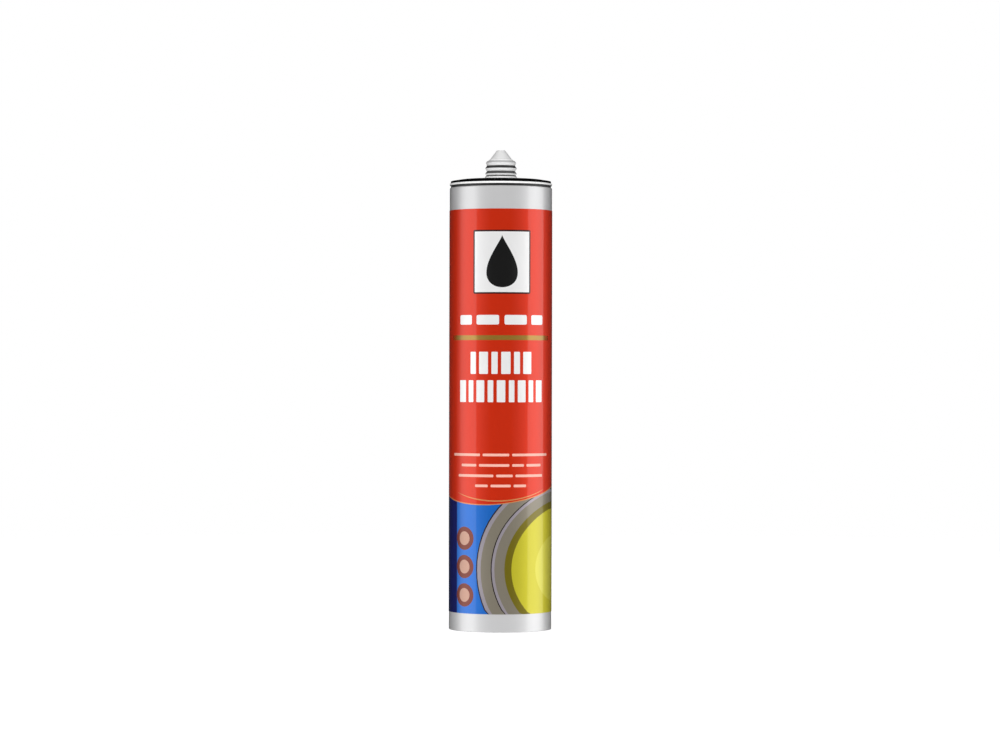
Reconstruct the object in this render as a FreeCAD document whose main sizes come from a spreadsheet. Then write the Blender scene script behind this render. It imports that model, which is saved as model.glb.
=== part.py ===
"""A 310 ml caulk cartridge: tube, screw-neck head, sliding piston, paste and wrap label.

The cartridge stands on the open rear end of its tube. +Z runs up the tube's axis to the sealed
tip, the origin is at the centre of the rear rim, and the printed front faces -Y.
"""
import FreeCAD, Part
import os

import Sketcher

SIZES = {
    "barrel_width": (49.6, "outside diameter of the tube"),
    "barrel_height": (213.8, "length of the tube, rear rim to front rim"),
    "barrel_wall": (1.5, "wall of the tube"),
    "barrel_round": (1.0, "rounding of the tube's front outer edge"),
    "foot_round": (0.5, "rounding of the tube's rear outer edge"),
    "mouth_depth": (12.0, "length of the lead-in at the tube's open rear"),
    "mouth_relief": (0.3, "how much wider in radius the lead-in is than the bore"),
    "mouth_bevel": (0.4, "bevel at the mouth of the lead-in"),
    "seam_height": (1.0, "height of the groove between tube and head"),
    "seam_inset": (0.55, "depth of that groove"),
    "bead_height": (1.0, "height of the head's bead, as wide as the tube"),
    "bead_round": (0.2, "rounding of the bead's edges"),
    "crown_height": (1.1, "height of the rim that stands on the bead"),
    "crown_inset": (0.5, "how far that rim stands in from the bead"),
    "crown_round": (0.2, "rounding of the rim's outer edge"),
    "shoulder_width": (4.3, "width of the sloping shoulder inside the rim"),
    "shoulder_rise": (0.7, "height of that slope"),
    "land_width": (4.0, "flat ring inside the shoulder, where a gun's front plate bears"),
    "dome_rise": (0.5, "rise of the head from the flat ring to the neck"),
    "plate_wall": (3.6, "thickness of the head's plate at its flat ring"),
    "skirt_length": (8.0, "length of the skirt that plugs into the tube"),
    "skirt_wall": (1.2, "wall of that skirt"),
    "skirt_lead": (0.6, "bevel on the skirt's leading edge"),
    "weld_gap": (0.05, "radial gap between the skirt and the bore"),
    "collar_width": (15.5, "diameter of the collar at the foot of the neck"),
    "collar_height": (1.1, "height of that collar"),
    "collar_round": (0.15, "rounding of the collar's edge"),
    "groove_width": (14.1, "diameter in the groove over the collar"),
    "groove_rise": (0.6, "height of the groove above the collar's edge"),
    "first_ridge_rise": (1.375, "height of the first ridge above the collar's edge"),
    "ridge_width": (15.4, "diameter over the neck's ridges"),
    "ridge_root": (13.6, "diameter between the ridges"),
    "ridge_pitch": (2.65, "spacing of the ridges"),
    "ridge_count": (3, "number of ridges"),
    "top_ridge_width": (14.7, "diameter of the last ridge, the smallest"),
    "neck_rim_width": (13.3, "diameter of the neck's top edge"),
    "neck_rim_rise": (1.0, "height of that edge above the last ridge"),
    "neck_bore": (9.0, "diameter of the way out through the neck"),
    "tip_ring_width": (11.7, "diameter of the ring at the foot of the sealed tip"),
    "tip_ring_height": (0.6, "height of that ring"),
    "tip_foot_width": (10.9, "diameter of the sealed tip where it leaves the ring"),
    "tip_top_width": (3.95, "diameter of the flat top of the sealed tip"),
    "tip_height": (4.6, "height of the sealed tip above the ring"),
    "tip_wall": (0.9, "wall of the sealed tip"),
    "tip_round": (0.4, "rounding of the tip's top edge"),
    "piston_setback": (13.35, "rear rim of the piston, in from the tube's rear end"),
    "piston_height": (18.0, "length of the piston"),
    "piston_web": (1.8, "thickness of the piston's face"),
    "piston_wall": (1.3, "wall of the piston's cup"),
    "piston_relief": (0.4, "how far the cup's wall stands in from its lips"),
    "lip_height": (1.4, "height of each sealing lip"),
    "lip_bevel": (0.3, "bevel above and below each lip"),
    "lip_gap": (0.05, "radial running clearance of the lips in the bore"),
    "boss_width": (7.0, "diameter of the boss behind the piston's face"),
    "rib_count": (8, "ribs behind the piston's face"),
    "rib_wall": (1.2, "thickness of a rib"),
    "rib_height": (3.0, "how far boss and ribs stand out behind the face"),
    "paste_gap": (0.06, "gap drawn between the paste and the walls round it"),
    "label_start": (8.75, "lower edge of the label above the rear rim"),
    "label_height": (193.95, "height of the label"),
    "label_glue": (0.05, "glue line between the tube and the label"),
    "label_film": (0.1, "thickness of the label's film"),
    "label_seam": (1.0, "strip left bare at the back where the label's ends meet"),
}

BORE = "(sizes.barrel_width / 2 - sizes.barrel_wall)"
BEAD_FOOT = "(sizes.barrel_height + sizes.seam_height)"
CROWN_FOOT = f"({BEAD_FOOT} + sizes.bead_height)"
CROWN_TOP = f"({CROWN_FOOT} + sizes.crown_height)"
LAND = f"({CROWN_TOP} + sizes.shoulder_rise)"
PLATE_UNDER = f"({LAND} - sizes.plate_wall)"
SKIRT_END = f"({PLATE_UNDER} - sizes.skirt_length)"
SKIRT_OUT = f"({BORE} - sizes.weld_gap)"
SKIRT_IN = f"({SKIRT_OUT} - sizes.skirt_wall)"
CROWN_OUT = "(sizes.barrel_width / 2 - sizes.crown_inset)"
LAND_OUT = f"({CROWN_OUT} - sizes.shoulder_width)"
NECK_FOOT = f"({LAND} + sizes.dome_rise)"
COLLAR_TOP = f"({NECK_FOOT} + sizes.collar_height)"
FIRST_RIDGE = f"({COLLAR_TOP} + sizes.first_ridge_rise)"
LAST_RIDGE = f"({FIRST_RIDGE} + (sizes.ridge_count - 1) * sizes.ridge_pitch)"
NECK_TOP = f"({LAST_RIDGE} + sizes.neck_rim_rise)"
TIP_FOOT = f"({NECK_TOP} + sizes.tip_ring_height)"
TIP_TOP = f"({TIP_FOOT} + sizes.tip_height)"
PISTON_FACE = "(sizes.piston_setback + sizes.piston_height)"
LIP = f"({BORE} - sizes.lip_gap)"
CUP_OUT = f"({LIP} - sizes.piston_relief)"
CUP_IN = f"({CUP_OUT} - sizes.piston_wall)"


def make_sheet(doc):
    """The driving dimensions, one named cell each."""
    sheet = doc.addObject("Spreadsheet::Sheet", "sizes")
    for row, (name, (value, meaning)) in enumerate(SIZES.items(), start=1):
        sheet.set(f"A{row}", str(value))
        sheet.setAlias(f"A{row}", name)
        sheet.set(f"B{row}", meaning)
    doc.recompute()
    return sheet


def origin_feature(body, role):
    """One of the body's own origin planes or axes."""
    return next(item for item in body.Origin.OriginFeatures if item.Role == role)


def sketch_on(body, name, role):
    """An empty sketch on one of the body's origin planes."""
    sketch = body.newObject("Sketcher::SketchObject", name)
    sketch.AttachmentSupport = [(origin_feature(body, role), "")]
    sketch.MapMode = "FlatFace"
    return sketch


def pin_down(sketch, line, end, corner):
    """Hold one end of a line at (across, up), each an expression in the sheet's sizes."""
    for kind, across_axis, expression in (("DistanceX", -2, corner[0]), ("DistanceY", -1, corner[1])):
        if expression == "0":
            sketch.addConstraint(Sketcher.Constraint("PointOnObject", line, end, across_axis))
            continue
        value = sketch.evalExpression(expression)
        index = sketch.addConstraint(Sketcher.Constraint(kind, -1, 1, line, end, float(value)))
        sketch.setExpression(f"Constraints[{index}]", expression)


def closed_outline(sketch, corners):
    """A closed outline of straight lines through corners given as pairs of expressions."""
    places = [
        FreeCAD.Vector(*(float(sketch.evalExpression(text)) for text in corner), 0)
        for corner in corners
    ]
    count = len(places)
    for number in range(count):
        sketch.addGeometry(Part.LineSegment(places[number], places[(number + 1) % count]), False)
    for number in range(count):
        following = (number + 1) % count
        sketch.addConstraint(Sketcher.Constraint("Coincident", number, 2, following, 1))
    for number, corner in enumerate(corners):
        pin_down(sketch, number, 1, corner)


def turned_body(doc, label, corners):
    """A body turned about the tube's axis from a half section, listed as (radius, height)."""
    body = doc.addObject("PartDesign::Body", label)
    body.Label = label
    sketch = sketch_on(body, f"{label}_section", "XZ_Plane")
    closed_outline(sketch, corners)
    turned = body.newObject("PartDesign::Revolution", f"{label}_turned")
    turned.Profile = sketch
    turned.ReferenceAxis = (sketch, ["V_Axis"])
    turned.Angle = 360
    doc.recompute()
    return body, turned


def round_edges(doc, body, base, name, places, radius):
    """Round the circular edges that lie at the given (radius, height) places."""
    shape = base.Shape
    wanted = []
    for number, edge in enumerate(shape.Edges, start=1):
        if not isinstance(edge.Curve, Part.Circle):
            continue
        for across, height in places:
            same_radius = abs(edge.Curve.Radius - across) < 1e-4
            if same_radius and abs(edge.Curve.Center.z - height) < 1e-4:
                wanted.append(f"Edge{number}")
    if len(wanted) != len(places):
        raise RuntimeError(f"{name}: {len(wanted)} edges found for {len(places)} places")
    fillet = body.newObject("PartDesign::Fillet", name)
    fillet.Base = (base, wanted)
    fillet.setExpression("Radius", radius)
    doc.recompute()
    return fillet


def make_barrel(doc, sheet):
    """The extruded tube, with a lead-in at its open rear for the piston and the push plate."""
    outer = "sizes.barrel_width / 2"
    mouth = f"{BORE} + sizes.mouth_relief"
    corners = [
        (f"{mouth} + sizes.mouth_bevel", "0"),
        (outer, "0"),
        (outer, "sizes.barrel_height"),
        (BORE, "sizes.barrel_height"),
        (BORE, "sizes.mouth_depth"),
        (mouth, "sizes.mouth_depth"),
        (mouth, "sizes.mouth_bevel"),
    ]
    body, turned = turned_body(doc, "barrel", corners)
    radius = sheet.barrel_width / 2
    front = round_edges(
        doc, body, turned, "barrel_front_round", [(radius, sheet.barrel_height)], "sizes.barrel_round"
    )
    round_edges(doc, body, front, "barrel_foot_round", [(radius, 0.0)], "sizes.foot_round")
    return body


def neck_corners(sheet):
    """The ridged outside of the neck, from the collar's foot to the top edge."""
    corners = [
        ("sizes.collar_width / 2", NECK_FOOT),
        ("sizes.collar_width / 2", COLLAR_TOP),
        ("sizes.groove_width / 2", f"{COLLAR_TOP} + sizes.groove_rise"),
    ]
    count = int(sheet.ridge_count)
    for ridge in range(count):
        width = "sizes.top_ridge_width" if ridge == count - 1 else "sizes.ridge_width"
        corners.append((f"{width} / 2", f"{FIRST_RIDGE} + {ridge} * sizes.ridge_pitch"))
        if ridge < count - 1:
            corners.append(("sizes.ridge_root / 2", f"{FIRST_RIDGE} + {ridge + 0.5} * sizes.ridge_pitch"))
    corners.append(("sizes.neck_rim_width / 2", NECK_TOP))
    return corners


def make_head(doc, sheet):
    """The moulded head: skirt, bead, rim, shouldered plate, ridged neck and closed tip, in one."""
    corners = [
        (SKIRT_IN, PLATE_UNDER),
        (SKIRT_IN, SKIRT_END),
        (f"{SKIRT_OUT} - sizes.skirt_lead", SKIRT_END),
        (SKIRT_OUT, f"{SKIRT_END} + sizes.skirt_lead"),
        (SKIRT_OUT, "sizes.barrel_height"),
        ("sizes.barrel_width / 2 - sizes.seam_inset", "sizes.barrel_height"),
        ("sizes.barrel_width / 2 - sizes.seam_inset", BEAD_FOOT),
        ("sizes.barrel_width / 2", BEAD_FOOT),
        ("sizes.barrel_width / 2", CROWN_FOOT),
        (CROWN_OUT, CROWN_FOOT),
        (CROWN_OUT, CROWN_TOP),
        (LAND_OUT, LAND),
        (f"{LAND_OUT} - sizes.land_width", LAND),
    ]
    corners += neck_corners(sheet)
    corners += [
        ("sizes.tip_ring_width / 2", NECK_TOP),
        ("sizes.tip_ring_width / 2", TIP_FOOT),
        ("sizes.tip_foot_width / 2", TIP_FOOT),
        ("sizes.tip_top_width / 2", TIP_TOP),
        ("0", TIP_TOP),
        ("0", f"{TIP_TOP} - sizes.tip_wall"),
        ("sizes.tip_top_width / 2 - sizes.tip_wall", f"{TIP_TOP} - sizes.tip_wall"),
        ("sizes.neck_bore / 2", NECK_TOP),
        ("sizes.neck_bore / 2", PLATE_UNDER),
    ]
    body, turned = turned_body(doc, "head", corners)
    radius = sheet.barrel_width / 2
    bead_foot = sheet.barrel_height + sheet.seam_height
    crown_foot = bead_foot + sheet.bead_height
    crown_top = crown_foot + sheet.crown_height
    collar_top = crown_top + sheet.shoulder_rise + sheet.dome_rise + sheet.collar_height
    tip_top = turned.Shape.BoundBox.ZMax
    bead = round_edges(
        doc, body, turned, "bead_round", [(radius, bead_foot), (radius, crown_foot)], "sizes.bead_round"
    )
    crown = round_edges(
        doc, body, bead, "crown_round", [(radius - sheet.crown_inset, crown_top)], "sizes.crown_round"
    )
    collar = round_edges(
        doc, body, crown, "collar_round", [(sheet.collar_width / 2, collar_top)], "sizes.collar_round"
    )
    round_edges(
        doc, body, collar, "tip_round", [(sheet.tip_top_width / 2, tip_top)], "sizes.tip_round"
    )
    return body


def make_piston(doc):
    """The cup-shaped piston, with a sealing lip at each end and ribs behind its face."""
    rear = "sizes.piston_setback"
    corners = [
        ("0", PISTON_FACE),
        ("0", f"{PISTON_FACE} - sizes.piston_web - sizes.rib_height"),
        ("sizes.boss_width / 2", f"{PISTON_FACE} - sizes.piston_web - sizes.rib_height"),
        ("sizes.boss_width / 2", f"{PISTON_FACE} - sizes.piston_web"),
        (CUP_IN, f"{PISTON_FACE} - sizes.piston_web"),
        (CUP_IN, rear),
        (f"{LIP} - sizes.lip_bevel", rear),
        (LIP, f"{rear} + sizes.lip_bevel"),
        (LIP, f"{rear} + sizes.lip_height - sizes.lip_bevel"),
        (CUP_OUT, f"{rear} + sizes.lip_height"),
        (CUP_OUT, f"{PISTON_FACE} - sizes.lip_height"),
        (LIP, f"{PISTON_FACE} - sizes.lip_height + sizes.lip_bevel"),
        (LIP, f"{PISTON_FACE} - sizes.lip_bevel"),
        (f"{LIP} - sizes.lip_bevel", PISTON_FACE),
    ]
    body, _ = turned_body(doc, "piston", corners)
    section = sketch_on(body, "rib_section", "XY_Plane")
    section.AttachmentOffset = FreeCAD.Placement(FreeCAD.Vector(0, 0, 1), FreeCAD.Rotation())
    section.setExpression(
        "AttachmentOffset.Base.z", f"{PISTON_FACE} - sizes.piston_web - sizes.rib_height"
    )
    inner = "sizes.boss_width / 4"
    outer = f"{CUP_IN} + sizes.piston_wall / 2"
    closed_outline(
        section,
        [
            (inner, "-sizes.rib_wall / 2"),
            (outer, "-sizes.rib_wall / 2"),
            (outer, "sizes.rib_wall / 2"),
            (inner, "sizes.rib_wall / 2"),
        ],
    )
    rib = body.newObject("PartDesign::Pad", "rib")
    rib.Profile = section
    rib.setExpression("Length", "sizes.rib_height + sizes.piston_web / 2")
    doc.recompute()
    ribs = body.newObject("PartDesign::PolarPattern", "ribs")
    ribs.Originals = [rib]
    ribs.Axis = (origin_feature(body, "Z_Axis"), [""])
    ribs.Angle = 360
    ribs.setExpression("Occurrences", "sizes.rib_count")
    body.Tip = ribs
    doc.recompute()
    return body


def make_sealant(doc):
    """The paste: a column from the piston's face to the head and up through the neck."""
    bottom = PISTON_FACE
    column = f"({BORE} - sizes.paste_gap)"
    plug = f"({SKIRT_IN} - sizes.paste_gap)"
    throat = "(sizes.neck_bore / 2 - sizes.paste_gap)"
    corners = [
        ("0", bottom),
        (column, bottom),
        (column, f"{SKIRT_END} - sizes.paste_gap"),
        (plug, f"{SKIRT_END} - sizes.paste_gap"),
        (plug, f"{PLATE_UNDER} - sizes.paste_gap"),
        (throat, f"{PLATE_UNDER} - sizes.paste_gap"),
        (throat, NECK_TOP),
        ("0", NECK_TOP),
    ]
    body, _ = turned_body(doc, "sealant", corners)
    return body


def make_label(doc):
    """The film wrapped round the tube, with a bare strip at the back where its ends meet."""
    inside = "sizes.barrel_width / 2 + sizes.label_glue"
    outside = f"{inside} + sizes.label_film"
    past_outside = f"{outside} + sizes.label_film"
    top = "sizes.label_start + sizes.label_height"
    corners = [
        (inside, "sizes.label_start"),
        (outside, "sizes.label_start"),
        (outside, top),
        (inside, top),
    ]
    body, turned = turned_body(doc, "label", corners)
    strip = sketch_on(body, "seam_strip", "XY_Plane")
    closed_outline(
        strip,
        [
            ("-sizes.label_seam / 2", "sizes.barrel_width / 4"),
            ("sizes.label_seam / 2", "sizes.barrel_width / 4"),
            ("sizes.label_seam / 2", past_outside),
            ("-sizes.label_seam / 2", past_outside),
        ],
    )
    seam = body.newObject("PartDesign::Pocket", "label_seam_cut")
    seam.Profile = strip
    seam.Type = "Length"
    seam.Reversed = True
    seam.setExpression("Length", f"{top} + sizes.label_start")
    doc.recompute()
    if seam.Shape.Volume >= turned.Shape.Volume:
        raise RuntimeError("the label's seam was not cut")
    return body


def check(doc, bodies):
    """Stop if any feature failed or any sub-part has no sound solid."""
    for item in doc.Objects:
        if "Invalid" in item.State or "Error" in item.State:
            raise RuntimeError(f"{item.Label} failed: {item.State}")
    for body in bodies:
        shape = body.Shape
        if shape.isNull() or not shape.isValid() or len(shape.Solids) != 1:
            raise RuntimeError(f"{body.Label} is not one sound solid")


def main():
    doc = FreeCAD.newDocument("caulk_cartridge")
    sheet = make_sheet(doc)
    bodies = [
        make_barrel(doc, sheet),
        make_head(doc, sheet),
        make_piston(doc),
        make_sealant(doc),
        make_label(doc),
    ]
    for body in bodies:
        body.Placement = FreeCAD.Placement()
    doc.recompute()
    check(doc, bodies)
    os.makedirs("parts", exist_ok=True)
    for body in bodies:
        body.Shape.exportStep(f"parts/{body.Label}.step")
        box = body.Shape.BoundBox
        print(f"{body.Label}: {body.Shape.Volume / 1000:.2f} ml, z {box.ZMin:.2f} to {box.ZMax:.2f}")


main()
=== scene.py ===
import math

import bmesh
import bpy
from bpy.props import FloatProperty, PointerProperty, StringProperty
from bpy.types import Operator, Panel, PropertyGroup
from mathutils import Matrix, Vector
from mathutils.geometry import delaunay_2d_cdt


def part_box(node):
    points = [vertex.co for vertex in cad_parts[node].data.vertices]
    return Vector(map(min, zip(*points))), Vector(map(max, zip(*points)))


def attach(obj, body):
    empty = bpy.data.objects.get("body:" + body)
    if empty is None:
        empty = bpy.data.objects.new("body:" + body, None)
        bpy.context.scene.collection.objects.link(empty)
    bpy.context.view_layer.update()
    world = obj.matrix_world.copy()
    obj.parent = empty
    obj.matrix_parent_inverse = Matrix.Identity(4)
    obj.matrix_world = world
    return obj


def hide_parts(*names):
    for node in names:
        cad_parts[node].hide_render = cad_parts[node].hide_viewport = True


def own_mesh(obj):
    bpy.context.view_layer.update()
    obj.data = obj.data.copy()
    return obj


bl_info = {
    "name": "Caulk Tube Looks",
    "version": (1, 0, 0),
    "blender": (4, 5, 0),
    "location": "View3D > Sidebar > Caulk Tube",
    "description": "Dresses a packed caulk tube: turned plastic pieces, printed wrap and studio",
    "category": "Object",
}

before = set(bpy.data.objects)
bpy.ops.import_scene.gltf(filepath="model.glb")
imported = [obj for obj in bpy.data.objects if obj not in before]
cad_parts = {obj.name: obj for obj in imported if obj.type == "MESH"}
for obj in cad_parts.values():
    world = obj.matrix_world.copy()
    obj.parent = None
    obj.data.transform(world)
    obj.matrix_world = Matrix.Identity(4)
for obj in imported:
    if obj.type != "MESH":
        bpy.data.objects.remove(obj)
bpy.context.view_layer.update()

MM = 0.001
TUBE_BODY = "cartridge"
TUBE_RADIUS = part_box("barrel")[1].x
TUBE_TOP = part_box("barrel")[1].z
SKIRT_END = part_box("head")[0].z
TIP_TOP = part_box("head")[1].z
WRAP_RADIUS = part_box("label")[1].x
WRAP_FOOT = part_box("label")[0].z
WRAP_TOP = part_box("label")[1].z

SKIRT_GAP = 0.05 * MM  # between the head's skirt and the tube
PASTE_GAP = 0.06 * MM  # between the paste and the head
TURN_STEPS = 192  # faces round a turned piece
CORNER_STEPS = 5  # faces over a rounded corner
WRAP_COLUMNS = 180  # columns that bend the wrap round the tube
SHARP_ANGLE = math.radians(35)
PISTON_SHARP_ANGLE = math.radians(30)

# The print, in millimetres: round the tube from the middle of its front, and up from its rear rim.
# Boxes are (left, right, low, high); a curve is (its lowest place, its height there, its rise a
# quarter turn away); a drop is (middle, foot, radius, height).
GROUND_TOP = 90.0
# Left of BLUE_START lies the navy ground: the print's own dark ground, and at the front's left edge
# painted shade.
BLUE_START = -24.5
RING_CENTRE = (34.0, 30.0)
RINGS = (
    ("umber", 46.0), ("lilac", 45.4), ("taupe", 43.6), ("umber", 38.6), ("lilac", 38.1),
    ("taupe", 36.8), ("olive", 32.0), ("lime", 28.6), ("pale_lime", 15.5),
)
DOT_ACROSS, DOT_HEIGHTS = -19.0, (17.6, 31.2, 44.8)
DOT_DISCS = (("brick", 5.6), ("tan", 3.3))
EDGE_CURVE, EDGE_WIDTH, EDGE_STEPS = (-9.0, 61.1, 7.0), 0.45, 120
ARC_CURVE, ARC_WIDTH, ARC_ENDS = (-2.0, 62.9, 10.6), 0.6, (-24.0, 24.4)
THINNEST_STROKE = 0.03
GOLD_LINE, GOLD_FADE = (-29.0, 29.0, 139.8, 142.1), (20.5, 23.0)
PANEL_OUTLINE, PANEL_CORNER = (-13.8, 15.1, 161.9, 192.5), 0.8
PANEL = (-13.05, 14.35, 162.7, 191.7)
DROP = (0.65, 165.0, 7.6, 25.0)
# Rows of broad bars: box, shares of the length, gap, rounding.
BROAD_ROWS = (
    (-22.1, 23.2, 147.2, 151.8, (2, 3, 3, 2), 2.6, 0.8),
    (-15.3, 15.7, 123.6, 134.2, (2, 3, 2, 3, 2, 3), 1.7, 0.4),
    (-22.2, 22.7, 110.1, 120.6, (3, 2, 3, 2, 3, 2, 3, 2, 3), 1.7, 0.4),
)
# Rows of fine bars: left, right, middle height, shares of the length.
FINE_ROWS = (
    (-27.3, 27.2, 84.9, (4, 3, 5)), (-20.9, 22.0, 79.9, (3, 5, 2, 3)),
    (-23.2, 23.2, 74.9, (5, 2, 4)), (-12.6, 12.9, 70.1, (2, 3, 2)),
)
FINE_HALF, FINE_GAP, FINE_ROUNDING = 0.62, 1.4, 0.4
# The two blocks of fine bars at the back.
BACK_LEFTS, BACK_WIDTH, BACK_HALF = (-74.0, 44.0), 30.0, 0.6
BACK_ROWS, BACK_TOP, BACK_PITCH = 17, 188.0, 5.8
BACK_SHARES = ((4, 2, 5, 3), (2, 6, 3), (5, 1, 3, 4), (3, 4, 2))

# The studio, in metres. The tent's profile is (azimuth in degrees, radiance) from the back, past
# the left, to the back again; a softbox is (name, azimuth, distance, height, radiance).
FLOOR_REACH, FLOOR_FADE = 4.0, (0.3, 1.0)
FLOOR_GREY, FLOOR_GLOW = 0.8, 0.5
ROOM_GLOW, BACKDROP_IN_GLOSS = 0.12, 0.3
TENT_RADIUS, TENT_SIDES = 3.0, 90
TENT_PROFILE = (
    (-180, 0.02), (-118, 0.02), (-107, 0.3), (-96, 1.2), (-86, 1.55), (-56, 1.6), (-54.8, 0.55),
    (-22, 0.12), (22, 0.12), (62.5, 0.55), (63.7, 1.85), (90, 1.8), (109, 1.5), (112, 0.2),
    (130, 0.03), (180, 0.02),
)
SOFTBOX_SIDE, SOFTBOX_AIM = 2.0, 0.12
SOFTBOXES = (
    ("front_softbox", 0, 2.2, 0.05, 2.6),
    ("back_softbox", 180, 2.2, 0.3, 2.2),
    ("top_softbox", 0, 0.4, 2.2, 3.0),
)
CAMERA_PLACE, CAMERA_LEAN = (-0.00027, -1.55, 0.1231), math.radians(-0.12)
CAMERA_LENS, CAMERA_SENSOR, CAMERA_CLIP = 115.0, 36.0, (0.01, 50.0)


def size(label, meaning, millimetres):
    """A size in metres that a user can change, with its default given in millimetres."""
    return FloatProperty(name=label, description=meaning, default=millimetres * MM, unit="LENGTH",
                         precision=5)


def shade(label, meaning, hex_colour):
    """A colour that a user can change, as an sRGB hex value."""
    return StringProperty(name=label, description=meaning, default=hex_colour)


class TubeSizes(PropertyGroup):
    """Sizes of the turned pieces and of the print."""
    tube_wall: size("Tube wall", "Wall of the tube", 1.5)
    mouth_depth: size("Mouth depth", "Length of the lead-in at the open rear", 12.0)
    mouth_relief: size("Mouth relief", "How much wider in radius the lead-in is", 0.3)
    seam_height: size("Seam height", "Height of the groove under the bead", 1.0)
    seam_inset: size("Seam inset", "Depth of the groove under the bead", 0.55)
    bead_height: size("Bead height", "Height of the bead", 1.0)
    rim_height: size("Rim height", "Height of the rim on the bead", 1.1)
    rim_inset: size("Rim inset", "How far the rim stands in from the bead", 0.5)
    land_width: size("Land width", "Flat ring on the head", 4.0)
    shoulder_width: size("Shoulder width", "Width of the slope inside the rim", 4.3)
    shoulder_rise: size("Shoulder rise", "Height of that slope", 0.7)
    dome_rise: size("Dome rise", "Rise of the head to the neck", 0.5)
    plate_wall: size("Plate wall", "Thickness of the head's plate", 3.6)
    skirt_wall: size("Skirt wall", "Wall of the skirt in the tube", 1.2)
    collar_radius: size("Collar radius", "Radius of the collar under the neck", 7.75)
    collar_height: size("Collar height", "Height of that collar", 1.1)
    groove_radius: size("Groove radius", "Radius in the groove over the collar", 7.05)
    groove_rise: size("Groove rise", "Height of the groove above the collar", 0.6)
    first_ridge_rise: size("First ridge rise", "Height of the first ridge above the collar", 1.375)
    ridge_radius: size("Ridge radius", "Radius over the neck's ridges", 7.7)
    top_ridge_radius: size("Top ridge radius", "Radius over the last ridge", 7.35)
    root_radius: size("Root radius", "Radius between the ridges", 6.8)
    ridge_pitch: size("Ridge pitch", "Spacing of the ridges", 2.65)
    neck_rim_radius: size("Neck rim radius", "Radius of the neck's top edge", 6.65)
    neck_rim_rise: size("Neck rim rise", "Height of that edge above the last ridge", 1.0)
    neck_bore: size("Neck bore", "Radius of the way out", 4.5)
    tip_ring_radius: size("Tip ring radius", "Radius of the ring at the tip's foot", 5.85)
    tip_ring_height: size("Tip ring height", "Height of that ring", 0.6)
    tip_foot_radius: size("Tip foot radius", "Radius of the sealed tip over the ring", 5.45)
    tip_top_radius: size("Tip top radius", "Radius of the tip's flat top", 1.975)
    tip_wall: size("Tip wall", "Wall of the sealed tip", 0.9)
    film: size("Film", "Thickness of the wrap", 0.1)
    film_seam: size("Film seam", "Bare strip where the wrap's ends meet", 1.0)
    film_margin: size("Film margin", "Unprinted film at the wrap's top edge", 0.04)


class TubeColours(PropertyGroup):
    """Colours of the plastics and inks."""
    tube_grey: shade("Tube grey", "Silver-grey polyethylene", "#D8D8D9")
    head_white: shade("Head white", "White polyethylene", "#FAFAFA")
    tip_white: shade("Tip white", "Unpigmented polyethylene of the tip", "#D9D9D9")
    piston_white: shade("Piston white", "Unpigmented polyethylene of the piston", "#DEDBD2")
    paste_white: shade("Paste white", "The sealant", "#ECEAE4")
    # The rim, flank, collar, edge and first flank colours are painted shade on the white head.
    rim_painted_shade: shade("Rim black", "Upper rim of the head", "#030303")
    groove_painted_shade: shade("Flank grey", "Grooves of the neck", "#272727")
    collar_painted_shade: shade("Collar grey", "Collar of the neck", "#EEEEEE")
    neck_edge_painted_shade: shade("Edge grey", "Top edge of the neck", "#B2B2B2")
    first_flank_painted_shade: shade("First flank grey", "Upper flank of the first ridge", "#4C4C4C")
    film_white: shade("Film white", "Unprinted film", "#F3E9E6")
    ink_red: shade("Red ink", "Main field", "#DE2E03")
    ink_white: shade("White ink", "Panel and broad bars", "#F7F7F7")
    ink_black: shade("Black ink", "Panel's motif", "#0C0C0C")
    ink_brown: shade("Brown ink", "Panel's outline", "#2A0A06")
    ink_gold: shade("Gold ink", "Line between the rows of bars", "#AA8232")
    ink_amber: shade("Amber ink", "Arc and edge of the red", "#E0965A")
    ink_blush: shade("Blush ink", "Fine bars", "#F4B9A9")
    ink_blue: shade("Blue ink", "Ground of the rings", "#1A6FD0")
    # Navy ground: print, and at the front's left edge painted shade.
    ink_navy: shade("Navy ink", "Ground at the left", "#0D1866")
    ink_lime: shade("Lime ink", "Inner disc", "#CFC72C")
    ink_pale_lime: shade("Pale lime ink", "Middle of that disc", "#DAD44C")
    ink_taupe: shade("Taupe ink", "Broad rings", "#8E8778")
    ink_lilac: shade("Lilac ink", "Pale rings", "#A79FA8")
    ink_umber: shade("Umber ink", "Lines between the rings", "#2C2420")
    ink_olive: shade("Olive ink", "Ring round the inner disc", "#7A6F10")
    ink_tan: shade("Tan ink", "Middles of the small discs", "#C79A86")
    ink_brick: shade("Brick ink", "Small discs", "#7A3222")


def linear(hex_colour):
    """An sRGB hex value as linear red, green, blue and alpha."""
    parts = [int(hex_colour[place:place + 2], 16) / 255 for place in (1, 3, 5)]
    return [c / 12.92 if c <= 0.04045 else ((c + 0.055) / 1.055) ** 2.4 for c in parts] + [1.0]


def add(tree, kind, settings=(), wires=()):
    """Adds a node; settings are (attribute or socket, value) and wires (socket, source) pairs."""
    made = tree.nodes.new(kind)
    for name, value in settings:
        if isinstance(name, str) and hasattr(made, name):
            setattr(made, name, value)
        else:
            made.inputs[name].default_value = value
    for socket, source in wires:
        tree.links.new(source, made.inputs[socket])
    return made


def new_material(name):
    """An empty node material with its output node."""
    made = bpy.data.materials.new(name)
    made.use_nodes = True
    made.node_tree.nodes.clear()
    return made, made.node_tree, add(made.node_tree, "ShaderNodeOutputMaterial")


def streaks(tree, across_mm, along_mm):
    """Noise whose grain is across_mm round the tube and along_mm up it, from 0 to 1."""
    place = add(tree, "ShaderNodeTexCoord")
    across, along = 1 / (across_mm * MM), 1 / (along_mm * MM)
    scaled = add(tree, "ShaderNodeVectorMath",
                 [("operation", "MULTIPLY"), (1, (across, across, along))],
                 [(0, place.outputs["Object"])])
    return add(tree, "ShaderNodeTexNoise", [("Scale", 1.0), ("Detail", 2.0)],
               [("Vector", scaled.outputs[0])])


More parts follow.
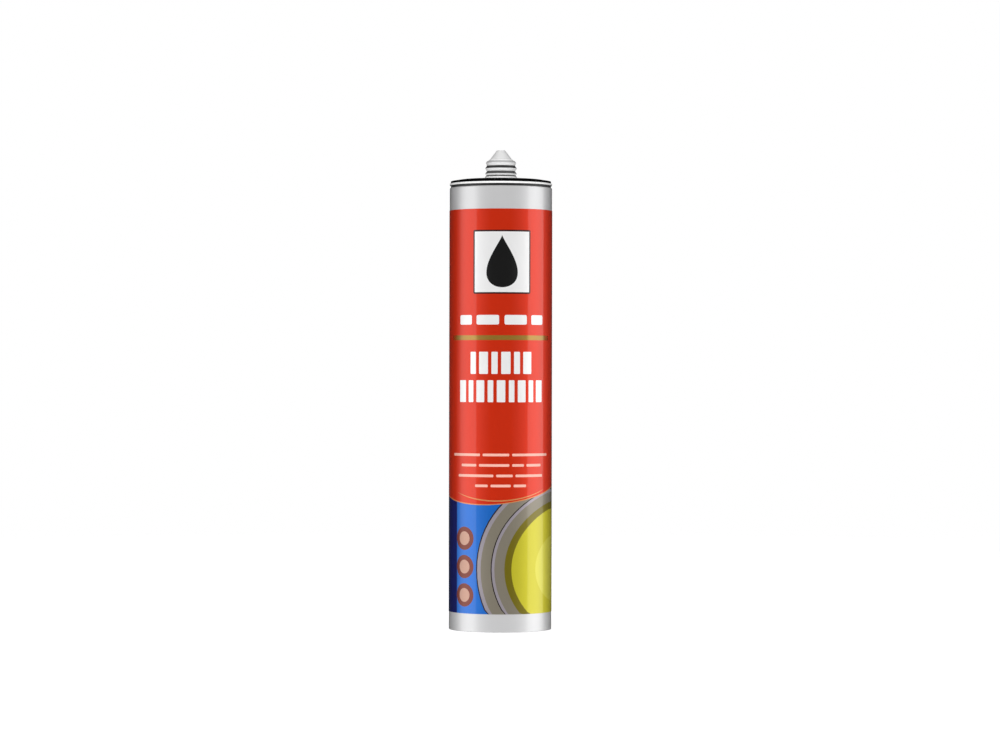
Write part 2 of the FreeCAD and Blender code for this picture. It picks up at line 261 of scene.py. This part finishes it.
def plastic(name, colour, roughness, metallic=0.0, grain=(0.6, 0.6), depth_mm=0.003, mottle=0.03,
            scatter_mm=0.0, varnish=0.0, shine=0.5):
    """A moulded, extruded or printed plastic: colour with slight mottling, gloss and fine relief.

    The grain is the size of the relief in millimetres, round the tube and along it."""
    made, tree, output = new_material(name)
    noise = streaks(tree, *grain)
    spread = add(tree, "ShaderNodeMapRange", [("To Min", 1 - mottle), ("To Max", 1 + mottle)],
                 [("Value", noise.outputs["Fac"])])
    tint = add(tree, "ShaderNodeVectorMath", [("operation", "SCALE"), (0, linear(colour)[:3])],
               [("Scale", spread.outputs[0])])
    relief = add(tree, "ShaderNodeBump", [("Strength", 1.0), ("Distance", depth_mm * MM)],
                 [("Height", noise.outputs["Fac"])])
    skin = add(tree, "ShaderNodeBsdfPrincipled",
               [("Roughness", roughness), ("Metallic", metallic), ("Specular IOR Level", shine),
                ("Coat Weight", varnish), ("Coat Roughness", 0.02), ("Coat IOR", 1.45)],
               [("Base Color", tint.outputs[0]), ("Normal", relief.outputs[0])])
    if scatter_mm:
        skin.inputs["Subsurface Weight"].default_value = 1.0
        skin.inputs["Subsurface Scale"].default_value = scatter_mm * MM
    tree.links.new(skin.outputs[0], output.inputs["Surface"])
    return made


def fade_ink(made, to_colour, start_mm, end_mm):
    """Fades an ink into another to the left and right, by distance from the front's middle."""
    tree = made.node_tree
    skin = next(item for item in tree.nodes if item.type == "BSDF_PRINCIPLED")
    first = skin.inputs["Base Color"].links[0].from_socket
    place = add(tree, "ShaderNodeTexCoord")
    split = add(tree, "ShaderNodeSeparateXYZ", wires=[("Vector", place.outputs["Object"])])
    away = add(tree, "ShaderNodeMath", [("operation", "ABSOLUTE")], [(0, split.outputs["X"])])
    share = add(tree, "ShaderNodeMapRange",
                [("From Min", start_mm * MM), ("From Max", end_mm * MM)],
                [("Value", away.outputs[0])])
    # The mix node's colour sockets are 6 and 7 on its way in and 2 on its way out.
    mixed = add(tree, "ShaderNodeMix", [("data_type", "RGBA"), (7, linear(to_colour))],
                [("Factor", share.outputs[0]), (6, first)])
    tree.links.new(mixed.outputs[2], skin.inputs["Base Color"])
    return made


def colours():
    return bpy.context.scene.tube_colours


def sizes():
    return bpy.context.scene.tube_sizes


def tube_plastic():
    """Silver-grey polyethylene with aluminium flake, extruded: a satin metal-like sheen, and faint
    lines along the tube from the die."""
    return plastic("extruded_grey_polyethylene", colours().tube_grey, 0.42, metallic=0.4,
                   grain=(0.8, 60.0), depth_mm=0.0015, mottle=0.012, varnish=1.0)


def head_plastic():
    """Bright white polyethylene, injection moulded: opaque, with a soft gloss."""
    return plastic("moulded_white_polyethylene", colours().head_white, 0.32, mottle=0.01)


def tip_plastic():
    """The same polyethylene where it is thin: greyer, because light goes through it."""
    return plastic("moulded_thin_polyethylene", colours().tip_white, 0.35, mottle=0.015)


def painted_rim_shade():
    """The head's white polyethylene with painted shade on its upper rim and shoulder, matt: a
    near-black line round the top.
    """
    return plastic("moulded_polyethylene_rim_in_painted_shade", colours().rim_painted_shade, 0.7, shine=0.04)


def painted_groove_shade():
    """White polyethylene down in the grooves, with painted shade that colours it nearly black."""
    return plastic("moulded_polyethylene_groove_in_painted_shade", colours().groove_painted_shade, 0.5)


def white_with_painted_shade(place, colour):
    """White polyethylene, a little duller, with painted shade that greys it, as on the neck's
    collar, edges and first ridge's upper flank.
    """
    return plastic("moulded_polyethylene_" + place, colour, 0.4)


def piston_plastic():
    """Unpigmented low-density polyethylene, injection moulded: waxy and matt."""
    return plastic("moulded_natural_polyethylene", colours().piston_white, 0.45, grain=(1.2, 1.2),
                   depth_mm=0.006, mottle=0.02, scatter_mm=1.0)


def paste():
    """Acrylic caulk: a smooth, wet-looking paste with faint drag marks."""
    return plastic("acrylic_caulk_paste", colours().paste_white, 0.3, grain=(2.0, 2.0),
                   depth_mm=0.05, mottle=0.02, scatter_mm=0.8)


def ink(name, hex_colour, metallic=0.5, roughness=0.45):
    """Flexo ink under gloss varnish on a silvery film: the film lends the ink a soft tinted sheen,
    the varnish a clear white one, and the film's slack a faint ripple a few millimetres long."""
    return plastic(name, hex_colour, roughness, metallic=metallic, grain=(5.0, 9.0), depth_mm=0.004,
                   mottle=0.015, varnish=1.0, shine=0.2)


def rounded(corners):
    """Draws a section's corners, (radius, height, rounding, slot), with each rounding as an arc.

    The slot is that of the surface which runs on from the corner. What comes back is
    (radius, height, slot)."""
    made = []
    count = len(corners)
    for number, (across, up, rounding, slot) in enumerate(corners):
        here = Vector((across, up))
        before = Vector(corners[number - 1][:2]) - here
        after = Vector(corners[(number + 1) % count][:2]) - here
        before_slot = corners[number - 1][3]
        turn = math.pi - before.angle(after, 0.0)
        if rounding <= 0 or turn < 0.05:
            made.append((across, up, slot))
            continue
        reach = rounding * math.tan(turn / 2)
        reach = min(reach, 0.45 * before.length, 0.45 * after.length)
        radius = reach / math.tan(turn / 2)
        start, end = here + before.normalized() * reach, here + after.normalized() * reach
        middle = here + (before.normalized() + after.normalized()).normalized() * (
            radius / math.cos(turn / 2))
        first, last = start - middle, end - middle
        sweep = first.angle_signed(last)
        for step in range(CORNER_STEPS + 1):
            share = step / CORNER_STEPS
            angle = -sweep * share
            point = middle + Vector((first.x * math.cos(angle) - first.y * math.sin(angle),
                                     first.x * math.sin(angle) + first.y * math.cos(angle)))
            made.append((point.x, point.y, before_slot if step < CORNER_STEPS / 2 else slot))
    return made


def smooth_piece(name, work, materials):
    """A linked object made from a bmesh, smooth but for its sharp edges."""
    bmesh.ops.recalc_face_normals(work, faces=work.faces)
    mesh = bpy.data.meshes.new(name)
    work.to_mesh(mesh)
    work.free()
    mesh.set_sharp_from_angle(angle=SHARP_ANGLE)
    for material in materials:
        mesh.materials.append(material)
    piece = bpy.data.objects.new(name, mesh)
    bpy.context.scene.collection.objects.link(piece)
    return piece


def turned(name, corners, materials, body):
    """A closed piece turned about the tube's axis from a section listed counter-clockwise."""
    outline = rounded(corners)
    work = bmesh.new()
    rings = []
    for across, up, _ in outline:
        if across < 1e-7:
            rings.append([work.verts.new((0.0, 0.0, up))])
            continue
        rings.append([
            work.verts.new((across * math.sin(angle), -across * math.cos(angle), up))
            for angle in (2 * math.pi * step / TURN_STEPS for step in range(TURN_STEPS))
        ])
    for number, (_, _, slot) in enumerate(outline):
        lower, upper = rings[number], rings[(number + 1) % len(rings)]
        if len(lower) == 1 and len(upper) == 1:
            continue
        for step in range(TURN_STEPS):
            following = (step + 1) % TURN_STEPS
            around = [lower[step], lower[following]] if len(lower) > 1 else [lower[0]]
            around += [upper[following], upper[step]] if len(upper) > 1 else [upper[0]]
            face = work.faces.new(around)
            face.material_index = slot
            face.smooth = True
    piece = smooth_piece(name, work, materials)
    weighted = piece.modifiers.new("Even shading", "WEIGHTED_NORMAL")
    weighted.keep_sharp = True
    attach(piece, body)
    return piece


class TUBE_OT_barrel(Operator):
    """Turns the extruded tube with its lead-in at the rear"""
    bl_idname = "tube.barrel"
    bl_label = "Barrel"

    def execute(self, context):
        given = sizes()
        bore = TUBE_RADIUS - given.tube_wall
        mouth = bore + given.mouth_relief
        fine, chamfer = 0.15 * MM, 0.4 * MM
        corners = [
            (mouth + chamfer, 0.0, fine, 0),
            (TUBE_RADIUS, 0.0, 0.5 * MM, 0),
            (TUBE_RADIUS, TUBE_TOP, 1.0 * MM, 0),
            (bore, TUBE_TOP, fine, 0),
            (bore, given.mouth_depth, fine, 0),
            (mouth, given.mouth_depth, fine, 0),
            (mouth, chamfer, fine, 0),
        ]
        piece = turned("tube_barrel", corners, [tube_plastic()], TUBE_BODY)
        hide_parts("barrel")
        return {"FINISHED"}


class TUBE_OT_head(Operator):
    """Turns the moulded head: skirt, groove, bead, rim, plate, ridged neck and sealed tip"""
    bl_idname = "tube.head"
    bl_label = "Head"

    def execute(self, context):
        given = sizes()
        # The slots black, grey, collar, edge and flank hold painted shade on the white moulding.
        white, black, grey, tip, collar, edge, flank = range(7)
        crisp, fine, soft, full = 0.05 * MM, 0.12 * MM, 0.2 * MM, 0.4 * MM
        chamfer = 0.6 * MM
        skirt_out = TUBE_RADIUS - given.tube_wall - SKIRT_GAP
        skirt_in = skirt_out - given.skirt_wall
        seam = TUBE_RADIUS - given.seam_inset
        bead_foot = TUBE_TOP + given.seam_height
        rim_foot = bead_foot + given.bead_height
        rim_top = rim_foot + given.rim_height
        rim = TUBE_RADIUS - given.rim_inset
        land_out = rim - given.shoulder_width
        land = rim_top + given.shoulder_rise
        under = land - given.plate_wall
        collar_foot = land + given.dome_rise
        collar_top = collar_foot + given.collar_height
        first_ridge = collar_top + given.first_ridge_rise
        neck_top = first_ridge + 2 * given.ridge_pitch + given.neck_rim_rise
        tip_foot = neck_top + given.tip_ring_height
        corners = [
            (skirt_in, SKIRT_END, fine, white),
            (skirt_out - chamfer, SKIRT_END, fine, white),
            (skirt_out, SKIRT_END + chamfer, fine, white),
            # Painted shade: the seam under the bead is coloured dark.
            (skirt_out, TUBE_TOP, 0.0, grey),
            (seam, TUBE_TOP, 0.0, grey),
            (seam, bead_foot, crisp, grey),
            (TUBE_RADIUS, bead_foot, soft, white),
            (TUBE_RADIUS, rim_foot, soft, white),
            # Painted shade: the rim's wall and its shoulder are coloured near black.
            (rim, rim_foot, crisp, black),
            (rim, rim_top, soft, black),
            (land_out, land, fine, white),
            (land_out - given.land_width, land, fine, white),
            # Painted shade: the collar is coloured a little grey.
            (given.collar_radius, collar_foot, fine, collar),
            # Painted shade: the groove over the collar is coloured dark.
            (given.collar_radius, collar_top, 0.15 * MM, grey),
            (given.groove_radius, collar_top + given.groove_rise, fine, white),
        ]
        for ridge in range(3):
            crest = given.top_ridge_radius if ridge == 2 else given.ridge_radius
            height = first_ridge + ridge * given.ridge_pitch
            # Painted shade on the ridges' upper flanks: dark on the first two, grey on the last.
            corners.append((crest, height, soft, (flank, grey, edge)[ridge]))
            if ridge < 2:
                corners.append((given.root_radius, height + 0.5 * given.ridge_pitch, fine, white))
        corners += [
            # Painted shade: the neck's top edge is coloured grey.
            (given.neck_rim_radius, neck_top, fine, edge),
            (given.tip_ring_radius, neck_top, fine, white),
            (given.tip_ring_radius, tip_foot, fine, white),
            (given.tip_foot_radius, tip_foot, fine, tip),
            (given.tip_top_radius, TIP_TOP, full, tip),
            (0.0, TIP_TOP, 0.0, tip),
            (0.0, TIP_TOP - given.tip_wall, 0.0, tip),
            (given.tip_top_radius - given.tip_wall, TIP_TOP - given.tip_wall, fine, tip),
            (given.neck_bore, neck_top, fine, white),
            (given.neck_bore, under, fine, white),
            (skirt_in, under, fine, white),
        ]
        materials = [head_plastic(), painted_rim_shade(), painted_groove_shade(), tip_plastic(),
                     white_with_painted_shade("collar", colours().collar_painted_shade),
                     white_with_painted_shade("edge", colours().neck_edge_painted_shade),
                     white_with_painted_shade("first_flank", colours().first_flank_painted_shade)]
        piece = turned("tube_head", corners, materials, TUBE_BODY)
        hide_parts("head")
        return {"FINISHED"}


class TUBE_OT_piston(Operator):
    """Gives the piston its waxy polyethylene"""
    bl_idname = "tube.piston"
    bl_label = "Piston"

    def execute(self, context):
        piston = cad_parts["piston"]
        piston.data.materials.clear()
        piston.data.materials.append(piston_plastic())
        piston.data.shade_smooth()
        piston.data.set_sharp_from_angle(angle=PISTON_SHARP_ANGLE)
        return {"FINISHED"}


class TUBE_OT_sealant(Operator):
    """Fills the tube: a column that shortens as the piston slides, and a core in neck and skirt"""
    bl_idname = "tube.sealant"
    bl_label = "Sealant"

    def execute(self, context):
        given = sizes()
        materials = [paste()]
        fine = 0.1 * MM
        low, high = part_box("sealant")
        end = SKIRT_END - PASTE_GAP
        column = [
            (0.0, low.z, 0.0, 0),
            (high.x, low.z, fine, 0),
            (high.x, end, fine, 0),
            (0.0, end, 0.0, 0),
        ]
        piece = turned("sealant_column", column, materials, TUBE_BODY)
        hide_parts("sealant")
        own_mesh(piece)
        skirt_in = TUBE_RADIUS - given.tube_wall - SKIRT_GAP - given.skirt_wall
        plug = skirt_in - PASTE_GAP
        throat = given.neck_bore - PASTE_GAP
        under = TUBE_TOP + (given.seam_height + given.bead_height + given.rim_height
                            + given.shoulder_rise - given.plate_wall) - PASTE_GAP
        core = [
            (0.0, end, 0.0, 0),
            (plug, end, fine, 0),
            (plug, under, fine, 0),
            (throat, under, fine, 0),
            (throat, high.z, fine, 0),
            (0.0, high.z, 0.0, 0),
        ]
        piece = turned("sealant_core", core, materials, TUBE_BODY)
        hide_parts("sealant")
        return {"FINISHED"}


def box_field(left, right, low, high):
    """A rectangle of print."""
    return [(left, low), (right, low), (right, high), (left, high)]


def bar_field(left, right, low, high, rounding=0.4, steps=4):
    """A rectangle of print with rounded corners."""
    rounding = min(rounding, (right - left) / 2, (high - low) / 2)
    centres = [
        (right - rounding, low + rounding, -90),
        (right - rounding, high - rounding, 0),
        (left + rounding, high - rounding, 90),
        (left + rounding, low + rounding, 180),
    ]
    return [
        (across + rounding * math.cos(math.radians(start + 90 * step / steps)),
         up + rounding * math.sin(math.radians(start + 90 * step / steps)))
        for across, up, start in centres for step in range(steps + 1)
    ]


def bowl(curve, across):
    """Height of a curve that dips across the front, from (lowest place, height there, rise)."""
    place, lowest, rise = curve
    return lowest + rise * (1 - math.cos((across - place) * MM / WRAP_RADIUS))


def stroke_field(curve, left, right, width, taper=False, steps=40):
    """A line of print along a curve, thinning to its ends where it is tapered."""
    lower, upper = [], []
    for step in range(steps + 1):
        share = step / steps
        across = left + (right - left) * share
        half = width / 2 * (math.sin(math.pi * share) ** 0.5 if taper else 1.0)
        half = max(half, THINNEST_STROKE)
        lower.append((across, bowl(curve, across) - half))
        upper.append((across, bowl(curve, across) + half))
    return lower + upper[::-1]


def disc_field(centre, up, radius, low, steps=72):
    """A disc of print, cut off straight at the print's lower edge."""
    return [
        (centre + radius * math.cos(2 * math.pi * step / steps),
         max(up + radius * math.sin(2 * math.pi * step / steps), low))
        for step in range(steps)
    ]


def drop_field(centre, foot, radius, height, steps=72):
    """A drop: round at its foot, its sides drawn together into a point at its top."""
    turns = [2 * math.pi * step / steps for step in range(steps)]
    return [(centre - 1.43 * radius * math.sin(turn) * math.sin(turn / 2) ** 1.5,
             foot + height / 2 * (1 + math.cos(turn))) for turn in turns]


def row_fields(left, right, low, high, shares, gap, rounding):
    """A row of bars whose lengths go by the shares given, with equal gaps."""
    unit = (right - left - gap * (len(shares) - 1)) / sum(shares)
    made, place = [], left
    for share in shares:
        made.append(bar_field(place, place + share * unit, low, high, rounding))
        place += share * unit + gap
    return made


def fine_bars(left, right, up, half, shares):
    """A row of fine bars about its middle height, in place of a line of small print."""
    row = row_fields(left, right, up - half, up + half, shares, FINE_GAP, FINE_ROUNDING)
    return [("blush", bar) for bar in row]


def print_inks():
    """The bare film and the inks, by name."""
    given = colours()
    inks = {"film": ink("bare_film", given.film_white, 0.15)}
    for hue in ("navy", "blue", "umber", "lilac", "taupe", "olive", "lime", "pale_lime", "brick",
                "tan", "red", "amber"):
        inks[hue] = ink(hue + "_ink", getattr(given, "ink_" + hue))
    for hue, metallic in (("brown", 0.0), ("black", 0.0), ("blush", 0.15), ("white", 0.35)):
        inks[hue] = ink(hue + "_ink", getattr(given, "ink_" + hue), metallic)
    gold = ink("gold_ink", given.ink_gold, 0.55, 0.2)
    inks["gold"] = fade_ink(gold, given.ink_red, *GOLD_FADE)
    return inks


def print_fields(reach, foot, top):
    """The film and the print on it as (ink's name, outline), in the order they are laid down."""
    high = top - sizes().film_margin / MM
    places = [-reach + 2 * reach * step / EDGE_STEPS for step in range(EDGE_STEPS + 1)]
    red_foot = [(across, bowl(EDGE_CURVE, across)) for across in places]
    fields = [("film", box_field(-reach, reach, foot, top)),
              # The navy ground is print, and where it reaches the front's left edge, painted shade.
              ("navy", box_field(-reach, reach, foot, GROUND_TOP)),
              ("blue", box_field(BLUE_START, reach, foot, GROUND_TOP))]
    fields += [(hue, disc_field(*RING_CENTRE, radius, foot)) for hue, radius in RINGS]
    fields += [(hue, disc_field(DOT_ACROSS, up, radius, foot))
               for up in DOT_HEIGHTS for hue, radius in DOT_DISCS]
    fields += [
        ("red", red_foot + [(reach, high), (-reach, high)]),
        ("amber", stroke_field(EDGE_CURVE, -reach, reach, EDGE_WIDTH, steps=EDGE_STEPS)),
        ("amber", stroke_field(ARC_CURVE, *ARC_ENDS, ARC_WIDTH, taper=True)),
        ("gold", box_field(*GOLD_LINE)),
        ("brown", bar_field(*PANEL_OUTLINE, PANEL_CORNER)),
        ("white", box_field(*PANEL)),
        ("black", drop_field(*DROP)),
    ]
    for row in BROAD_ROWS:
        fields += [("white", bar) for bar in row_fields(*row)]
    for left, right, up, shares in FINE_ROWS:
        fields += fine_bars(left, right, up, FINE_HALF, shares)
    for left in BACK_LEFTS:
        for row in range(BACK_ROWS):
            fields += fine_bars(left, left + BACK_WIDTH, BACK_TOP - BACK_PITCH * row, BACK_HALF,
                                BACK_SHARES[-row % len(BACK_SHARES)])
    return fields


class TUBE_OT_wrap(Operator):
    """Wraps the printed film round the tube, each field of ink its own faces in one skin"""
    bl_idname = "tube.wrap"
    bl_label = "Printed wrap"

    def execute(self, context):
        given = sizes()
        half_seam = math.asin(given.film_seam / 2 / WRAP_RADIUS)
        reach = (math.pi - half_seam) * WRAP_RADIUS / MM
        foot, top = WRAP_FOOT / MM, WRAP_TOP / MM
        fields = print_fields(reach, foot, top)
        points, bends, outlines = [], [], []
        for _, outline in fields:
            start = len(points)
            points += [Vector((min(max(across, -reach), reach), min(max(up, foot), top)))
                       for across, up in outline]
            outlines.append(list(range(start, len(points))))
        for column in range(1, WRAP_COLUMNS):
            across = -reach + 2 * reach * column / WRAP_COLUMNS
            bends.append((len(points), len(points) + 1))
            points += [Vector((across, foot)), Vector((across, top))]
        places, _, cells, _, _, owners = delaunay_2d_cdt(points, bends, outlines, 0, 1e-4)

        hues = list(dict.fromkeys(hue for hue, _ in fields))
        bare = hues.index("film")
        work = bmesh.new()
        outer, inner = [], []
        for place in places:
            turn = place.x * MM / WRAP_RADIUS
            ahead = Vector((math.sin(turn), -math.cos(turn), 0.0))
            up = Vector((0.0, 0.0, place.y * MM))
            outer.append(work.verts.new(ahead * WRAP_RADIUS + up))
            inner.append(work.verts.new(ahead * (WRAP_RADIUS - given.film) + up))
        for cell, owner in zip(cells, owners):
            face = work.faces.new([outer[corner] for corner in cell])
            face.material_index = hues.index(fields[max(owner)][0]) if owner else bare
            face.smooth = True
            back = work.faces.new([inner[corner] for corner in reversed(cell)])
            back.material_index = bare
            back.smooth = True
        pair = dict(zip(outer, inner))
        for rim in [edge for edge in work.edges if len(edge.link_faces) == 1]:
            first, second = rim.verts
            if first in pair:
                side = work.faces.new([first, second, pair[second], pair[first]])
                side.material_index = bare
        inks = print_inks()
        piece = smooth_piece("tube_wrap", work, [inks[hue] for hue in hues])
        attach(piece, TUBE_BODY)
        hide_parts("label")
        return {"FINISHED"}


def soft_light(name, azimuth, distance, up, radiance):
    """A flat softbox for soft light only; azimuth 0 stands behind the camera, 90 on its right."""
    lamp = bpy.data.lights.new(name, "AREA")
    lamp.shape = "SQUARE"
    lamp.size = SOFTBOX_SIDE
    lamp.energy = radiance * math.pi * SOFTBOX_SIDE ** 2
    turn = math.radians(azimuth)
    stand = bpy.data.objects.new(name, lamp)
    stand.location = (distance * math.sin(turn), -distance * math.cos(turn), up)
    aim = Vector((0.0, 0.0, SOFTBOX_AIM)) - stand.location
    stand.rotation_euler = aim.to_track_quat("-Z", "Y").to_euler()
    stand.visible_camera = False
    stand.visible_glossy = False
    bpy.context.scene.collection.objects.link(stand)


def light_tent():
    """A round wall of light that only reflections see, brighter in two upright boxes."""
    turns = [2 * math.pi * step / TENT_SIDES for step in range(TENT_SIDES)]
    corners = [(TENT_RADIUS * math.sin(turn), -TENT_RADIUS * math.cos(turn), up)
               for turn in turns for up in (-TENT_RADIUS, TENT_RADIUS)]
    count = len(corners)
    walls = [(low, low + 1, (low + 3) % count, (low + 2) % count) for low in range(0, count, 2)]
    mesh = bpy.data.meshes.new("light_tent")
    mesh.from_pydata(corners, [], walls)
    made, tree, output = new_material("light_tent")
    place = add(tree, "ShaderNodeTexCoord")
    split = add(tree, "ShaderNodeSeparateXYZ", wires=[("Vector", place.outputs["Object"])])
    ahead = add(tree, "ShaderNodeMath", [("operation", "MULTIPLY"), (1, -1.0)],
                [(0, split.outputs["Y"])])
    turn = add(tree, "ShaderNodeMath", [("operation", "ARCTAN2")],
               [(0, split.outputs["X"]), (1, ahead.outputs[0])])
    share = add(tree, "ShaderNodeMapRange", [("From Min", -math.pi), ("From Max", math.pi)],
                [("Value", turn.outputs[0])])
    ramp = add(tree, "ShaderNodeValToRGB", wires=[("Fac", share.outputs[0])])
    most = max(radiance for _, radiance in TENT_PROFILE)
    stops = ramp.color_ramp.elements
    while len(stops) < len(TENT_PROFILE):
        stops.new(0.5)
    for stop, (azimuth, radiance) in zip(stops, TENT_PROFILE):
        stop.position = (azimuth + 180) / 360
        stop.color = [radiance / most] * 3 + [1.0]
    glow = add(tree, "ShaderNodeEmission", [("Strength", most)],
               [("Color", ramp.outputs["Color"])])
    tree.links.new(glow.outputs[0], output.inputs["Surface"])
    made.cycles.emission_sampling = "NONE"
    mesh.materials.append(made)
    tent = bpy.data.objects.new("light_tent", mesh)
    bpy.context.scene.collection.objects.link(tent)
    tent.visible_camera = False
    tent.visible_diffuse = False
    tent.visible_shadow = False


def paper_floor():
    """A white paper floor that fades out into the backdrop and is clear from beneath."""
    mesh = bpy.data.meshes.new("floor")
    far = FLOOR_REACH
    mesh.from_pydata([(-far, -far, 0), (far, -far, 0), (far, far, 0), (-far, far, 0)], [],
                     [(0, 1, 2, 3)])
    floor = bpy.data.objects.new("floor", mesh)
    bpy.context.scene.collection.objects.link(floor)
    floor.visible_glossy = False
    floor.visible_shadow = False
    made, tree, output = new_material("white_paper_floor")
    paper = add(tree, "ShaderNodeBsdfDiffuse", [("Color", [FLOOR_GREY] * 3 + [1.0])])
    glow = add(tree, "ShaderNodeEmission", [("Strength", FLOOR_GLOW)])
    seen = add(tree, "ShaderNodeAddShader", wires=[(0, paper.outputs[0]), (1, glow.outputs[0])])
    clear = add(tree, "ShaderNodeBsdfTransparent")
    place = add(tree, "ShaderNodeTexCoord")
    away = add(tree, "ShaderNodeVectorMath", [("operation", "LENGTH")],
               [(0, place.outputs["Object"])])
    near, end = FLOOR_FADE
    fade = add(tree, "ShaderNodeMapRange",
               [("interpolation_type", "SMOOTHSTEP"), ("From Min", near), ("From Max", end)],
               [("Value", away.outputs["Value"])])
    under = add(tree, "ShaderNodeNewGeometry")
    hidden = add(tree, "ShaderNodeMath", [("operation", "MAXIMUM")],
                 [(0, fade.outputs[0]), (1, under.outputs["Backfacing"])])
    edge = add(tree, "ShaderNodeMixShader",
               wires=[("Fac", hidden.outputs[0]), (1, seen.outputs[0]), (2, clear.outputs[0])])
    tree.links.new(edge.outputs[0], output.inputs["Surface"])
    mesh.materials.append(made)


def studio_room():
    """A dim white room that the camera sees at full white, and reflections in part."""
    room = bpy.data.worlds.new("studio")
    bpy.context.scene.world = room
    room.use_nodes = True
    tree = room.node_tree
    tree.nodes.clear()
    path = add(tree, "ShaderNodeLightPath")
    dim = add(tree, "ShaderNodeBackground", [("Color", (1, 1, 1, 1)), ("Strength", ROOM_GLOW)])
    white = add(tree, "ShaderNodeBackground", [("Color", (1, 1, 1, 1)), ("Strength", 1.0)])
    bright = add(tree, "ShaderNodeMath", [("operation", "MULTIPLY_ADD"), (1, BACKDROP_IN_GLOSS)],
                 [(0, path.outputs["Is Glossy Ray"]), (2, path.outputs["Is Camera Ray"])])
    mixed = add(tree, "ShaderNodeMixShader",
                wires=[("Fac", bright.outputs[0]), (1, dim.outputs[0]), (2, white.outputs[0])])
    add(tree, "ShaderNodeOutputWorld", wires=[("Surface", mixed.outputs[0])])


def photo_camera():
    """A long lens level with the middle of the tube, in front of it."""
    camera = bpy.data.cameras.new("camera")
    camera.lens, camera.sensor_width = CAMERA_LENS, CAMERA_SENSOR
    camera.clip_start, camera.clip_end = CAMERA_CLIP
    stand = bpy.data.objects.new("camera", camera)
    stand.location = CAMERA_PLACE
    stand.rotation_euler = (math.radians(90), CAMERA_LEAN, 0.0)
    bpy.context.scene.collection.objects.link(stand)
    bpy.context.scene.camera = stand


class TUBE_OT_stage(Operator):
    """Sets the white floor, the backdrop, the softboxes and the camera"""
    bl_idname = "tube.stage"
    bl_label = "Studio"

    def execute(self, context):
        paper_floor()
        studio_room()
        light_tent()
        for softbox in SOFTBOXES:
            soft_light(*softbox)
        photo_camera()
        context.scene.view_settings.view_transform = "Standard"
        return {"FINISHED"}


class TUBE_PT_looks(Panel):
    """Lists the steps and the values that a user can change"""
    bl_label = "Caulk Tube"
    bl_idname = "TUBE_PT_looks"
    bl_space_type = "VIEW_3D"
    bl_region_type = "UI"
    bl_category = "Caulk Tube"

    def draw(self, context):
        for operator in OPERATORS:
            self.layout.operator(operator.bl_idname)
        for group in (context.scene.tube_sizes, context.scene.tube_colours):
            column = self.layout.column()
            for name in group.__annotations__:
                column.prop(group, name)


OPERATORS = (TUBE_OT_stage, TUBE_OT_barrel, TUBE_OT_head, TUBE_OT_piston, TUBE_OT_sealant,
             TUBE_OT_wrap)
CLASSES = (TubeSizes, TubeColours) + OPERATORS + (TUBE_PT_looks,)


def register():
    for item in CLASSES:
        bpy.utils.register_class(item)
    bpy.types.Scene.tube_sizes = PointerProperty(type=TubeSizes)
    bpy.types.Scene.tube_colours = PointerProperty(type=TubeColours)


def unregister():
    del bpy.types.Scene.tube_colours
    del bpy.types.Scene.tube_sizes
    for item in reversed(CLASSES):
        bpy.utils.unregister_class(item)


def main():
    register()
    bpy.ops.tube.stage()
    bpy.ops.tube.barrel()
    bpy.ops.tube.head()
    bpy.ops.tube.piston()
    bpy.ops.tube.sealant()
    bpy.ops.tube.wrap()


if __name__ == "__main__":
    main()
